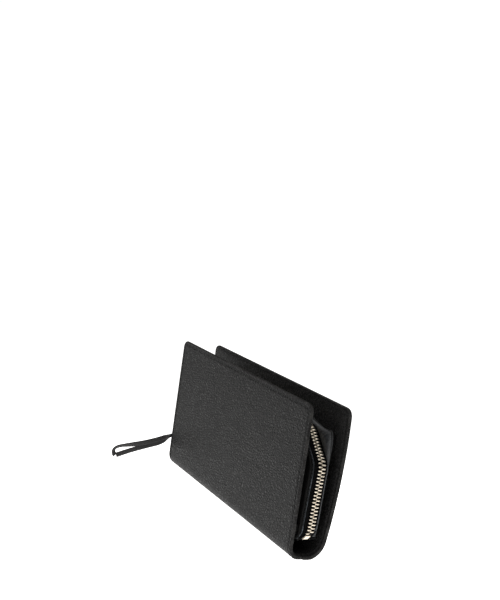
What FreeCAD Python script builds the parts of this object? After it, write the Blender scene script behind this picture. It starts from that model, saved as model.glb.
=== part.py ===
"""Long wallet standing on its fold: two leather covers joined by a spine, a zipped pouch sewn inside
the front cover, card slots inside the back cover, and a slider with a ring and a leather pull strap.

Frame: X along the wallet, -Y out of the front cover, +Z up. The origin is on the ground, under the
middle of the fold. Millimetres.
"""

import FreeCAD, Part
import math
import os
import Sketcher

os.makedirs("parts", exist_ok=True)
doc = FreeCAD.newDocument("long_wallet")
Vector = FreeCAD.Vector

# ---------------------------------------------------------------- driving dimensions

SIZES = {
    "wallet_length": 195,
    "front_height": 97.5,
    "back_height": 96.4,
    "corner_radius": 5,
    "skin": 1.1,
    "board": 0.6,
    "lining": 0.9,
    "turned_edge": 8,
    # the fold: two arcs pressed flat by fold_flat where the wallet stands on them
    "fold_flat": 0.5,
    "front_fold_y": 3.42,
    "front_fold_r": 8.5,
    "back_fold_y": 0.12,
    "back_fold_r": 13.2,
    "front_lean": 1.84,
    "back_lean": 6.76,
    "back_bow_r": 424,
    "split_angle": 45,
    "split_gap": 2.3,
    # the pouch
    "pouch_front_y": 7.6,
    "pouch_rear_y": 7.4,
    "pouch_leather": 1,
    "pouch_floor": 12,
    "pouch_half": 96,
    "pouch_rear_half": 94.5,
    "pouch_rear_top": 82,
    "pouch_rear_corner": 7,
    "gusset_thick": 0.9,
    "gusset_front_edge": 4.7,
    "gusset_rear_edge": 5.5,
    "gusset_rear_deep": 2.4,
    "mount_strip_low": 14,
    "mount_strip_high": 22,
    "mount_strip_bed": 0.18,
    # the zip's line round three sides, at the middle of the tape
    "zip_foot_x": 96.1,
    "zip_foot_z": 13,
    "zip_bend_x": 96.1,
    "zip_bend_z": 60.2,
    "zip_top_x": 76,
    "zip_top_z": 78.8,
    "zip_low_r": 8,
    "zip_high_r": 14,
    "zip_y": 1.3,
    "tape_thick": 0.6,
    "tape_gap": 1.6,
    "tape_wide": 5.4,
    "tooth_pitch": 2.23,
    "tooth_wide": 1,
    "tooth_thick": 2.5,
    "tooth_reach": 2.7,
    "tooth_mesh": 0.35,
    "stop_long": 2.4,
    "stop_reach": 2.15,
    "stop_gap": 0.3,
    "left_run_start": 4,
    # the slider, about its own centre
    "slider_z": 22.4,
    "slider_long": 8.6,
    "slider_narrow": 3.55,
    "slider_wide": 4,
    "slider_gap": 1.45,
    "slider_plate": 0.9,
    "slider_slit": 0.5,
    "slider_rail": 0.6,
    "post_half": 0.9,
    "post_low": -3.9,
    "post_high": -1.3,
    "bridge_x": 3.68,
    "bridge_half": 0.3,
    "bridge_long": 6.4,
    "bridge_leg": 1,
    "bridge_ease": 0.3,
    # the ring and the strap
    "ring_wire": 0.4,
    "ring_eye": 0.83,
    "ring_reach": 8,
    "ring_half": 2.6,
    "ring_corner": 1.2,
    "strap_wide": 3.9,
    "strap_thick": 1.3,
    # pockets inside the back cover
    "pocket_half": 87.5,
    "pocket_low": 16,
    "pocket_high": 79.5,
    "pocket_thick": 0.8,
    "pocket_y": 11.05,
    "pocket_lean": 1,
    "slot_wide": 86,
    "slot_gap": 1.6,
    "slot_low": 17,
    "slot_high": 74,
    "slot_step": 10,
    "slot_thick": 0.4,
}
SLOTS_PER_COLUMN = 4

sheet = doc.addObject("Spreadsheet::Sheet", "Sizes")
for row, (alias, value) in enumerate(SIZES.items(), start=1):
    sheet.set(f"A{row}", alias)
    sheet.set(f"B{row}", str(value))
    sheet.setAlias(f"B{row}", alias)
doc.recompute()


def size(alias):
    return float(sheet.get(alias))


def worked_out(expression):
    """The number that an expression on the sheet gives."""
    value = sheet.evalExpression(expression)
    return float(getattr(value, "Value", value))


def bind(thing, **expressions):
    for name, expression in expressions.items():
        thing.setExpression(name, expression)


# ---------------------------------------------------------------- helpers

def body(label):
    made = doc.addObject("PartDesign::Body", label)
    made.Label = label
    return made


def sketch_on(owner, role, name, offset=None):
    """A sketch on one of its own body's origin planes."""
    sketch = owner.newObject("Sketcher::SketchObject", name)
    plane = [f for f in owner.Origin.OriginFeatures if f.Role == role][0]
    sketch.AttachmentSupport = (plane, "")
    sketch.MapMode = "FlatFace"
    if offset:
        sketch.setExpression("AttachmentOffset.Base.z", offset)
    return sketch


def pin(sketch, edge, end, across, up):
    """Holds one end of an edge at a place worked out from the sheet."""
    for kind, expression in (("DistanceX", across), ("DistanceY", up)):
        at = sketch.addConstraint(
            Sketcher.Constraint(kind, -1, 1, edge, end, worked_out(expression))
        )
        sketch.setExpression(f"Constraints[{at}]", expression)


def arc_between(start, finish, radius, left):
    """The short arc from start to finish, with its centre on the left or right of the way."""
    chord = finish - start
    side = Vector(-chord.y, chord.x, 0).normalize()
    rise = math.sqrt(max(radius**2 - (chord.Length / 2) ** 2, 0))
    centre = (start + finish) * 0.5 + side * (rise if left else -rise)
    first = math.atan2(start.y - centre.y, start.x - centre.x)
    last = math.atan2(finish.y - centre.y, finish.x - centre.x)
    circle = Part.Circle(centre, Vector(0, 0, 1), radius)
    if left:
        return Part.ArcOfCircle(circle, first, last), (1, 2)
    return Part.ArcOfCircle(circle, last, first), (2, 1)


def outline(sketch, corners, closed=True):
    """Draws straight and round edges through corners, each (across, up) or
    (across, up, radius, "left" or "right") where a round edge leaves that corner."""
    places = [Vector(worked_out(c[0]), worked_out(c[1]), 0) for c in corners]
    count = len(corners) if closed else len(corners) - 1
    for i in range(count):
        here, there = corners[i], corners[(i + 1) % len(corners)]
        start, finish = places[i], places[(i + 1) % len(corners)]
        ends = (1, 2)
        if len(here) == 4:
            shape, ends = arc_between(start, finish, worked_out(here[2]), here[3] == "left")
            edge = sketch.addGeometry(shape, False)
            at = sketch.addConstraint(Sketcher.Constraint("Radius", edge, worked_out(here[2])))
            sketch.setExpression(f"Constraints[{at}]", here[2])
        else:
            edge = sketch.addGeometry(Part.LineSegment(start, finish), False)
        pin(sketch, edge, ends[0], here[0], here[1])
        pin(sketch, edge, ends[1], there[0], there[1])
    return sketch


def feature(owner, kind, name, sketch, length, both_sides=False, reverse=False):
    made = owner.newObject(f"PartDesign::{kind}", name)
    made.Profile = sketch
    if both_sides:
        made.Midplane = True
    made.Reversed = reverse
    made.setExpression("Length", length)
    return made


def block(label, low, high):
    """A box between two corners, each three expressions on the sheet."""
    made = doc.addObject("Part::Box", label)
    made.Label = label
    sides = [f"({h}) - ({l})" for l, h in zip(low, high)]
    bind(made, Length=sides[0], Width=sides[1], Height=sides[2])
    for axis, place in zip("xyz", low):
        made.setExpression(f"Placement.Base.{axis}", place)
    return made


def shaped(label, shape):
    """A piece whose shape is built with Part's functions from sizes on the sheet."""
    made = doc.addObject("Part::Feature", label)
    made.Label = label
    made.Shape = shape
    return made


# ---------------------------------------------------------------- covers and spine

def fold_point(side, depth, angle):
    """A point of the fold's arc, at a depth below the outer face and an angle under the level."""
    sign = {"front": "-1", "back": "1"}[side]
    radius = f"(Sizes.{side}_fold_r - ({depth}))"
    across = f"{sign} * (Sizes.{side}_fold_y + {radius} * cos(({angle}) * 1deg))"
    up = f"Sizes.{side}_fold_r - Sizes.fold_flat - {radius} * sin(({angle}) * 1deg)"
    return across, up


def wall_point(side, depth, up):
    """A point of a cover above the fold: the front one is straight, the back one bows out."""
    lean = f"(Sizes.{side}_lean * 1deg)"
    radius = f"(Sizes.{side}_fold_r - ({depth}))"
    centre_up = f"(Sizes.{side}_fold_r - Sizes.fold_flat)"
    if side == "front":
        rise = f"({up} - {centre_up}) * tan{lean}"
        return f"-(Sizes.front_fold_y + {radius} / cos{lean} + {rise})", up
    longer = "(Sizes.back_bow_r - Sizes.back_fold_r)"
    bow_up = f"({centre_up} + {longer} * sin{lean})"
    reach = f"sqrt((Sizes.back_bow_r - ({depth}))^2 - ({up} - {bow_up})^2)"
    return f"Sizes.back_fold_y - {longer} * cos{lean} + {reach}", up


def wall_outline(side, near, far, low_angle, high):
    """The section of a cover between two depths below its outer face, up to a height. It starts
    at an angle round the fold's arc, or above the arc where low_angle is None."""
    lean = f"Sizes.{side}_lean"
    onward, homeward = {"front": ("right", "left"), "back": ("left", "right")}[side]
    corners = []
    for depth, back_again in ((near, False), (far, True)):
        radius = f"Sizes.{side}_fold_r - ({depth})"
        bow = f"Sizes.back_bow_r - ({depth})"
        foot = [] if low_angle is None else [fold_point(side, depth, low_angle)]
        knee = fold_point(side, depth, lean)
        top = wall_point(side, depth, high)
        if back_again:
            corners.append((*top, bow, homeward) if side == "back" else top)
            corners.append((*knee, radius, homeward) if foot else knee)
            corners += foot
        else:
            corners += [(*point, radius, onward) for point in foot]
            corners.append((*knee, bow, onward) if side == "back" else knee)
            corners.append(top)
    return corners


def round_top_corners(owner, base, height):
    """Rounds the two upper corners of a cover's layer."""
    doc.recompute()
    half = size("wallet_length") / 2
    picked = []
    for number, edge in enumerate(base.Shape.Edges, start=1):
        middle = edge.CenterOfMass
        across_y = abs(edge.tangentAt(edge.FirstParameter).y) > 0.9
        if across_y and abs(abs(middle.x) - half) < 0.01 and abs(middle.z - height) < 0.5:
            picked.append(f"Edge{number}")
    rounded = owner.newObject("PartDesign::Fillet", owner.Label + "_corners")
    rounded.Base = (base, picked)
    rounded.setExpression("Radius", "Sizes.corner_radius")


def cover(side):
    """One cover: the leather with its turned edge, the board laid in it, and the lining."""
    low = "Sizes.split_angle - Sizes.split_gap"
    high = f"Sizes.{side}_height"
    board_high = f"Sizes.{side}_height - Sizes.turned_edge"
    inside = "Sizes.wallet_length - 2 * Sizes.turned_edge"
    deep = "Sizes.skin + Sizes.board"
    height = size(f"{side}_height")

    leather = body(f"{side}_cover_leather")
    section = sketch_on(leather, "YZ_Plane", f"{side}_leather_section")
    outline(section, wall_outline(side, "0", deep, low, high))
    feature(leather, "Pad", f"{side}_leather_pad", section, "Sizes.wallet_length", True)
    room = sketch_on(leather, "YZ_Plane", f"{side}_board_room")
    outline(room, wall_outline(side, "Sizes.skin", f"{deep} + Sizes.lining", None, board_high))
    pocket = feature(leather, "Pocket", f"{side}_board_pocket", room, inside, True)
    round_top_corners(leather, pocket, height)

    stiff = body(f"{side}_board")
    section = sketch_on(stiff, "YZ_Plane", f"{side}_board_section")
    outline(section, wall_outline(side, "Sizes.skin", deep, None, board_high))
    feature(stiff, "Pad", f"{side}_board_pad", section, inside, True)

    lining = body(f"{side}_lining")
    section = sketch_on(lining, "YZ_Plane", f"{side}_lining_section")
    outline(section, wall_outline(side, deep, f"{deep} + Sizes.lining", low, high))
    pad = feature(lining, "Pad", f"{side}_lining_pad", section, "Sizes.wallet_length", True)
    round_top_corners(lining, pad, height)
    return [leather, stiff, lining]


def spine_layer(label, near, far):
    """One layer of the fold between the two covers, flat where the wallet stands on it."""
    made = body(label)
    section = sketch_on(made, "YZ_Plane", label + "_section")
    corners = []
    for depth, back_again in ((near, False), (far, True)):
        ends = {}
        for side in ("front", "back"):
            radius = f"(Sizes.{side}_fold_r - ({depth}))"
            sign = {"front": "-1", "back": "1"}[side]
            run = f"sqrt({radius}^2 - (Sizes.{side}_fold_r - Sizes.fold_flat - {depth})^2)"
            floor = (f"{sign} * (Sizes.{side}_fold_y + {run})", depth)
            ends[side] = (fold_point(side, depth, "Sizes.split_angle"), floor, radius)
        front, back = ends["front"], ends["back"]
        if not back_again:
            corners.append((*front[0], front[2], "left"))
            corners.append(front[1])
            corners.append((*back[1], back[2], "left"))
            corners.append(back[0])
        else:
            corners.append((*back[0], back[2], "right"))
            corners.append(back[1])
            corners.append((*front[1], front[2], "right"))
            corners.append(front[0])
    outline(section, corners)
    feature(made, "Pad", label + "_pad", section, "Sizes.wallet_length", True)
    return made


# ---------------------------------------------------------------- pouch

def plate(label, front, back, low, half, top_corners):
    """An upright leather sheet between two Y places, its outline given in X and Z."""
    made = body(label)
    drawn = sketch_on(made, "XZ_Plane", label + "_outline", f"-({back})")
    corners = [(f"-({half})", low), (half, low), *top_corners]
    outline(drawn, corners)
    feature(made, "Pad", label + "_pad", drawn, f"({back}) - ({front})")
    return made


def pouch_walls():
    reach = "(Sizes.tape_thick / 2 + Sizes.gusset_thick)"
    across, rise = "(Sizes.zip_bend_x - Sizes.zip_top_x)", "(Sizes.zip_top_z - Sizes.zip_bend_z)"
    chamfer = f"atan({across} / {rise})"
    bend_z = f"Sizes.zip_bend_z + {reach} * tan({chamfer} / 2)"
    top_x = f"(Sizes.zip_top_x + {reach} * tan((90 * 1deg - {chamfer}) / 2))"
    top_z = f"Sizes.zip_top_z + {reach}"
    low = "Sizes.pouch_floor + Sizes.pouch_leather"
    front = plate(
        "pouch_front_wall",
        "-Sizes.pouch_front_y",
        "-Sizes.pouch_front_y + Sizes.pouch_leather",
        low,
        f"(Sizes.zip_foot_x + {reach})",
        [
            (f"Sizes.zip_bend_x + {reach}", bend_z),
            (top_x, top_z),
            (f"-{top_x}", top_z),
            (f"-(Sizes.zip_bend_x + {reach})", bend_z),
        ],
    )
    side, top, cut = "Sizes.pouch_rear_half", "Sizes.pouch_rear_top", "Sizes.pouch_rear_corner"
    rear = plate(
        "pouch_rear_wall",
        "Sizes.pouch_rear_y - Sizes.pouch_leather",
        "Sizes.pouch_rear_y",
        low,
        side,
        [
            (side, f"{top} - {cut}", cut, "left"),
            (f"{side} - {cut}", top),
            (f"-({side} - {cut})", top, cut, "left"),
            (f"-{side}", f"{top} - {cut}"),
        ],
    )
    floor = block(
        "pouch_bottom",
        ("-Sizes.pouch_half", "-Sizes.pouch_front_y", "Sizes.pouch_floor"),
        ("Sizes.pouch_half", "Sizes.pouch_rear_y", low),
    )
    inner_face = "-Sizes.front_fold_y - Sizes.front_fold_r + Sizes.skin + Sizes.board + Sizes.lining"
    strip = block(
        "pouch_mount_strip",
        ("-Sizes.pouch_half", f"{inner_face} - Sizes.mount_strip_bed", "Sizes.mount_strip_low"),
        ("Sizes.pouch_half", "-Sizes.pouch_front_y", "Sizes.mount_strip_high"),
    )
    return [front, rear, floor, strip]


def zip_corners():
    """The corners of the zip's line, from its right foot over the top to its left foot."""
    right = [
        Vector(size("zip_foot_x"), 0, size("zip_foot_z")),
        Vector(size("zip_bend_x"), 0, size("zip_bend_z")),
        Vector(size("zip_top_x"), 0, size("zip_top_z")),
    ]
    left = [Vector(-p.x, 0, p.z) for p in reversed(right)]
    low, high = size("zip_low_r"), size("zip_high_r")
    return right + left, [low, high, high, low]


def rounded_path(points, radii):
    """Straight runs joined by tangent arcs, one radius for each inner point."""
    edges, start = [], points[0]
    for before, corner, after, radius in zip(points, points[1:], points[2:], radii):
        into = (corner - before).normalize()
        out = (after - corner).normalize()
        turn = into.getAngle(out)
        cut = radius * math.tan(turn / 2)
        first, last = corner - into * cut, corner + out * cut
        towards = (out - into).normalize()
        middle = corner + towards * (radius / math.cos(turn / 2) - radius)
        edges.append(Part.LineSegment(start, first).toShape())
        edges.append(Part.Arc(first, middle, last).toShape())
        start = last
    edges.append(Part.LineSegment(start, points[-1]).toShape())
    return Part.Wire(edges)


def zip_band(label, path, low_y, high_y, inner, outer):
    """A strip that follows the zip's line, between two Y places and two depths."""
    made = doc.addObject("Part::Sweep", label)
    made.Label = label
    profile = doc.addObject("Sketcher::SketchObject", label + "_section")
    bind(profile, **{"Placement.Base.x": "Sizes.zip_foot_x", "Placement.Base.z": "Sizes.zip_foot_z"})
    corners = [(outer, low_y), (outer, high_y), (inner, high_y), (inner, low_y)]
    outline(profile, corners)
    made.Sections = [profile]
    made.Spine = (path, [])
    made.Solid = True
    made.Frenet = False
    return made


def pouch_bands():
    """The two tapes of the zip, and the leather that is sewn over their outer edges."""
    points, radii = zip_corners()
    path = shaped("zip_line", rounded_path(points, radii))
    half = "Sizes.tape_thick / 2"
    over = f"{half} + Sizes.gusset_thick"
    tape_low, tape_high = "Sizes.zip_y - Sizes.tape_gap", "Sizes.zip_y + Sizes.tape_gap"
    front_wall = "-Sizes.pouch_front_y + Sizes.pouch_leather"
    rear_wall = "Sizes.pouch_rear_y - Sizes.pouch_leather"
    rear_edge, deep = "Sizes.gusset_rear_edge", "-Sizes.gusset_rear_deep"
    made = [
        zip_band("zip_tape_front", path, f"{tape_low} - Sizes.tape_wide", tape_low, f"-{half}", half),
        zip_band("zip_tape_rear", path, tape_high, rear_edge, f"-{half}", half),
        zip_band("pouch_gusset_front", path, front_wall, "-Sizes.gusset_front_edge", half, over),
        zip_band("pouch_gusset_rear", path, rear_edge, rear_wall, deep, over),
    ]
    return made, path


# ---------------------------------------------------------------- zip

def at_length(path, along):
    """The place and direction of travel at a distance along a wire."""
    for edge in path.OrderedEdges:
        if along <= edge.Length:
            reached = edge.getParameterByLength(along)
            place = edge.valueAt(reached)
            ahead = edge.tangentAt(reached)
            if edge.Orientation == "Reversed":
                reached = edge.getParameterByLength(edge.Length - along)
                place, ahead = edge.valueAt(reached), edge.tangentAt(reached) * -1
            return place, ahead
        along -= edge.Length
    raise ValueError("past the end of the path")


def tooth(place, ahead, low_y, high_y):
    """One tooth across the tape's edge, square to the zip's line."""
    wide, thick = size("tooth_wide"), size("tooth_thick")
    made = Part.makeBox(thick, high_y - low_y, wide, Vector(-thick / 2, low_y, -wide / 2))
    angle = math.degrees(math.atan2(ahead.x, ahead.z))
    made.rotate(Vector(), Vector(0, 1, 0), angle)
    made.translate(place)
    return made


def teeth(path):
    """Both rows, half a pitch apart. The teeth of the left run, which the slider passes, are
    nodes of their own."""
    wire = path.Shape.Wires[0]
    pitch = size("tooth_pitch")
    left_start = wire.Length - (size("zip_bend_z") - size("zip_foot_z")) + size("left_run_start")
    slider_end = wire.Length - (size("slider_z") - size("zip_foot_z")) + size("post_high")
    rows = {
        "front": (size("zip_y") - size("tooth_reach"), size("zip_y") + size("tooth_mesh"), 0.0),
        "rear": (size("zip_y") - size("tooth_mesh"), size("zip_y") + size("tooth_reach"), 0.5),
    }
    made = []
    for side, (low_y, high_y, shift) in rows.items():
        groups = {f"zip_teeth_{side}": [], f"zip_teeth_{side}_left_end": []}
        along = size("stop_long") + pitch * (0.5 + shift)
        while along < slider_end - size("tooth_wide"):
            place, ahead = at_length(wire, along)
            name = f"zip_teeth_{side}" + ("_left_end" if along > left_start else "")
            groups[name].append(tooth(place, ahead, low_y, high_y))
            along += pitch
        for name, solids in groups.items():
            made.append(shaped(name, Part.makeCompound(solids)))
    return made


def zip_stops(path):
    """The box that joins the tapes at the right foot, and the two clamps at the left foot."""
    wire = path.Shape.Wires[0]
    y, reach, closed = size("zip_y"), size("tooth_reach"), size("stop_reach")
    long, thick = size("stop_long"), size("tooth_thick")
    place, ahead = at_length(wire, long / 2)
    lower = Part.makeBox(thick, 2 * closed, long, Vector(-thick / 2, y - closed, -long / 2))
    lower.rotate(Vector(), Vector(0, 1, 0), math.degrees(math.atan2(ahead.x, ahead.z)))
    lower.translate(place)
    clamps = []
    place, ahead = at_length(wire, wire.Length - long / 2 - size("stop_gap"))
    tilt = math.degrees(math.atan2(ahead.x, ahead.z))
    for low_y in (y - reach, y + reach - size("tape_gap") / 2):
        corner = Vector(-thick / 2, low_y, -long / 2)
        clamp = Part.makeBox(thick, size("tape_gap") / 2, long, corner)
        clamp.rotate(Vector(), Vector(0, 1, 0), tilt)
        clamp.translate(place)
        clamps.append(clamp)
    return [shaped("zip_bottom_stop", lower), shaped("zip_top_stops", Part.makeCompound(clamps))]


def slider_place():
    """Where the slider's own centre stands, and how it leans with the zip's left run."""
    foot = Vector(-size("zip_foot_x"), 0, size("zip_foot_z"))
    bend = Vector(-size("zip_bend_x"), 0, size("zip_bend_z"))
    run = (bend - foot).normalize()
    centre = foot + run * ((size("slider_z") - foot.z) / run.z)
    centre.y = size("zip_y")
    lean = FreeCAD.Rotation(Vector(0, 0, 1), run)
    turned = FreeCAD.Rotation(Vector(0, 0, 1), 180)
    return FreeCAD.Placement(centre, lean.multiply(turned))


def slider():
    """Two plates, four rails and the post between them. Its own X points out of the wallet's
    end, its own Z up the run; the wide, open end is the lower one."""
    made = body("slider_body")
    half = "Sizes.slider_long / 2"
    for name, low in (("outer", "Sizes.slider_gap"), ("inner", "-Sizes.slider_gap - Sizes.slider_plate")):
        drawn = sketch_on(made, "YZ_Plane", f"slider_{name}_plate", low)
        corners = [
            ("-Sizes.slider_wide", f"-{half}"),
            ("Sizes.slider_wide", f"-{half}"),
            ("Sizes.slider_wide", "0"),
            ("Sizes.slider_narrow", half),
            ("-Sizes.slider_narrow", half),
            ("-Sizes.slider_wide", "0"),
        ]
        outline(drawn, corners)
        pad = feature(made, "Pad", f"slider_{name}_pad", drawn, "Sizes.slider_plate")
        pad.Refine = False
        if name == "outer":
            post = sketch_on(made, "YZ_Plane", "slider_post_outline", "-Sizes.slider_gap")
            middle = "(Sizes.post_low + Sizes.post_high) / 2"
            outline(
                post,
                [
                    ("0", "Sizes.post_low"),
                    ("Sizes.post_half", middle),
                    ("0", "Sizes.post_high"),
                    ("-Sizes.post_half", middle),
                ],
            )
            feature(made, "Pad", "slider_post", post, "2 * Sizes.slider_gap")
    for name, low in (("outer", "Sizes.slider_slit"), ("inner", "-Sizes.slider_gap")):
        rails = sketch_on(made, "YZ_Plane", f"slider_{name}_rails", low)
        for sign in ("-1", "1"):
            corners = [
                (f"{sign} * Sizes.slider_wide", f"-{half}"),
                (f"{sign} * Sizes.slider_wide", "0"),
                (f"{sign} * Sizes.slider_narrow", half),
                (f"{sign} * (Sizes.slider_narrow - Sizes.slider_rail)", half),
                (f"{sign} * (Sizes.slider_wide - Sizes.slider_rail)", "0"),
                (f"{sign} * (Sizes.slider_wide - Sizes.slider_rail)", f"-{half}"),
            ]
            outline(rails, corners)
        feature(made, "Pad", f"slider_{name}_rail_pad", rails, "Sizes.slider_gap - Sizes.slider_slit")
    made.Placement = slider_place()

    bridge = body("slider_bridge")
    drawn = sketch_on(bridge, "XZ_Plane", "slider_bridge_outline", "-Sizes.bridge_half")
    face = "Sizes.slider_gap + Sizes.slider_plate"
    under = "Sizes.bridge_x - Sizes.bridge_half"
    over = "Sizes.bridge_x + Sizes.bridge_half"
    span, window = "Sizes.bridge_long / 2", "(Sizes.bridge_long / 2 - Sizes.bridge_leg)"
    corners = [
        (face, f"-{span}"),
        (over, f"-{window}"),
        (over, window),
        (face, span),
        (face, window),
        (under, f"{window} - Sizes.bridge_ease"),
        (under, f"-({window} - Sizes.bridge_ease)"),
        (face, f"-{window}"),
    ]
    outline(drawn, corners)
    feature(bridge, "Pad", "slider_bridge_pad", drawn, "2 * Sizes.bridge_half")
    bridge.Placement = slider_place()
    return [made, bridge]


def pull_ring():
    """A wire loop with a narrow eye round the bridge and a straight bar for the strap. It lies
    flat along the slider's face, pointing to the front."""
    eye, half = size("ring_eye"), size("ring_half")
    reach, corner = size("ring_reach"), size("ring_corner")
    away = math.hypot(half, reach)
    lean = math.atan2(half, reach) - math.asin(eye / away)
    leave = Vector(eye * math.cos(lean), eye * math.sin(lean), 0)
    enter = Vector(-leave.x, leave.y, 0)
    middle = Vector(0, -reach, 0)
    going = rounded_path([middle, Vector(half, -reach, 0), leave], [corner])
    coming = rounded_path([enter, Vector(-half, -reach, 0), middle], [corner])
    over = Part.Arc(leave, Vector(0, eye, 0), enter).toShape()
    halves = []
    for edges, start, ahead in (
        (going.Edges, middle, Vector(1, 0, 0)),
        ([over] + coming.Edges, leave, Vector(-math.sin(lean), math.cos(lean), 0)),
    ):
        circle = Part.Wire(Part.Circle(start, ahead, size("ring_wire")).toShape())
        halves.append(Part.Wire(edges).makePipeShell([circle], True, False))
    made = shaped("pull_ring", halves[0].fuse(halves[1]).removeSplitter())
    hang = FreeCAD.Placement(
        Vector(size("bridge_x"), 0, 0),
        FreeCAD.Rotation(Vector(0, 0, 1), 180 - math.degrees(lean) - RING_OFF_FACE),
    )
    made.Placement = slider_place().multiply(hang)
    return made


# ---------------------------------------------------------------- pull strap

# degrees between the slider's face and the near leg of the ring
RING_OFF_FACE = 2

# The strap is one strip folded in half through the ring. Each half is a route from the ring:
# the upper one curls round at its end and comes down on the lower one, which lies on the ground.
STRAP_ROUTES = {
    "pull_strap_upper": [
        (-101.1, -6.8, 22.5),
        (-101.2, -10.9, 20.3),
        (-101.5, -19.4, 17.2),
        (-101.9, -29.1, 14.3),
        (-102.4, -39.1, 12.0),
        (-102.8, -47.4, 10.7),
        (-103.0, -51.6, 9.9),
        (-103.1, -55.2, 8.2),
        (-103.1, -56.1, 4.9),
        (-103.1, -54.1, 2.4),
    ],
    "pull_strap_lower": [
        (-102.6, -6.8, 22.2),
        (-102.7, -11.9, 18.9),
        (-102.9, -17.7, 14.0),
        (-103.3, -27.3, 11.3),
        (-103.8, -37.7, 7.9),
        (-104.2, -45.8, 4.9),
        (-104.4, -52.5, 2.2),
    ],
}


def strap_half(label):
    """One half of the strap: a flat strip, on edge, along straight runs and tangent arcs."""
    points = [Vector(*p) for p in STRAP_ROUTES[label]]
    radii = []
    for before, corner, after in zip(points, points[1:], points[2:]):
        into, out = corner - before, after - corner
        turn = into.getAngle(out)
        radii.append(0.45 * min(into.Length, out.Length) / math.tan(turn / 2))
    path = rounded_path(points, radii)
    ahead = (points[1] - points[0]).normalize()
    thin = ahead.cross(Vector(0, 0, 1)).normalize() * (size("strap_thick") / 2)
    wide = thin.cross(ahead).normalize() * (size("strap_wide") / 2)
    start = points[0]
    corners = [start + thin + wide, start - thin + wide, start - thin - wide, start + thin - wide]
    profile = Part.makePolygon(corners + corners[:1])
    sweep = Part.BRepOffsetAPI.MakePipeShell(path)
    sweep.setBiNormalMode(Vector(1, 0, 0))
    sweep.add(profile)
    sweep.build()
    sweep.makeSolid()
    made = sweep.shape()
    section = size("strap_thick") * size("strap_wide")
    print(label, "length", round(path.Length, 1), "radii", [round(r, 1) for r in radii])
    print(label, "volume over section times length", round(made.Volume / section / path.Length, 3))
    return shaped(label, made)


# ---------------------------------------------------------------- pockets of the back cover

def pockets():
    """The banknote panel and two columns of card slots, leaning with the back cover."""
    lean = FreeCAD.Rotation(Vector(1, 0, 0), -size("pocket_lean"))
    foot = Vector(0, size("pocket_y"), size("pocket_low"))
    hang = FreeCAD.Placement(foot, lean)
    made = []

    def leaf(label, left, wide, low, high, depth, thick):
        piece = doc.addObject("Part::Box", label)
        piece.Label = label
        bind(piece, Length=wide, Width=thick, Height=f"({high}) - ({low})")
        corner = Vector(
            worked_out(left),
            -worked_out(depth) - worked_out(thick),
            worked_out(low) - size("pocket_low"),
        )
        piece.Placement = hang.multiply(FreeCAD.Placement(corner, FreeCAD.Rotation()))
        made.append(piece)

    leaf(
        "banknote_pocket",
        "-Sizes.pocket_half",
        "2 * Sizes.pocket_half",
        "Sizes.pocket_low",
        "Sizes.pocket_high",
        "0",
        "Sizes.pocket_thick",
    )
    columns = {"left": "-Sizes.slot_gap / 2 - Sizes.slot_wide", "right": "Sizes.slot_gap / 2"}
    for side, left in columns.items():
        for number in range(SLOTS_PER_COLUMN):
            leaf(
                f"card_slot_{side}_{number + 1}",
                left,
                "Sizes.slot_wide",
                "Sizes.slot_low",
                f"Sizes.slot_high - {number} * Sizes.slot_step",
                f"Sizes.pocket_thick + {number} * Sizes.slot_thick",
                "Sizes.slot_thick",
            )
    return made


# ---------------------------------------------------------------- assembly

pieces = cover("front") + cover("back")
pieces.append(spine_layer("spine_leather", "0", "(Sizes.skin + Sizes.board)"))
deep = "(Sizes.skin + Sizes.board + Sizes.lining)"
pieces.append(spine_layer("spine_lining", "(Sizes.skin + Sizes.board)", deep))
pieces += pouch_walls()
bands, zip_line = pouch_bands()
doc.recompute()
pieces += bands
pieces += teeth(zip_line)
pieces += zip_stops(zip_line)
pieces += slider()
pieces.append(pull_ring())
pieces += [strap_half(label) for label in STRAP_ROUTES]
pieces += pockets()
doc.recompute()

for thing in doc.Objects:
    if "Invalid" in thing.State or "Error" in thing.State:
        raise RuntimeError(f"{thing.Label} failed: {thing.State}")
for piece in pieces:
    if piece.Shape.isNull() or not piece.Shape.isValid():
        raise RuntimeError(f"{piece.Label} has no valid shape")
    if piece.Shape.Volume <= 0:
        raise RuntimeError(f"{piece.Label} is inside out")
    piece.Shape.exportStep(f"parts/{piece.Label}.step")
print(len(pieces), "pieces")
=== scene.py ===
"""Looks of the long wallet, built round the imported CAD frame.

Lengths in this script are millimetres, in the row frame: X along the wallet, -Y out of the front
cover, +Z up. They become metres where a mesh is made.
"""

import math

import bmesh
import bpy
import numpy as np
from mathutils import Matrix, Vector, noise


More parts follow.
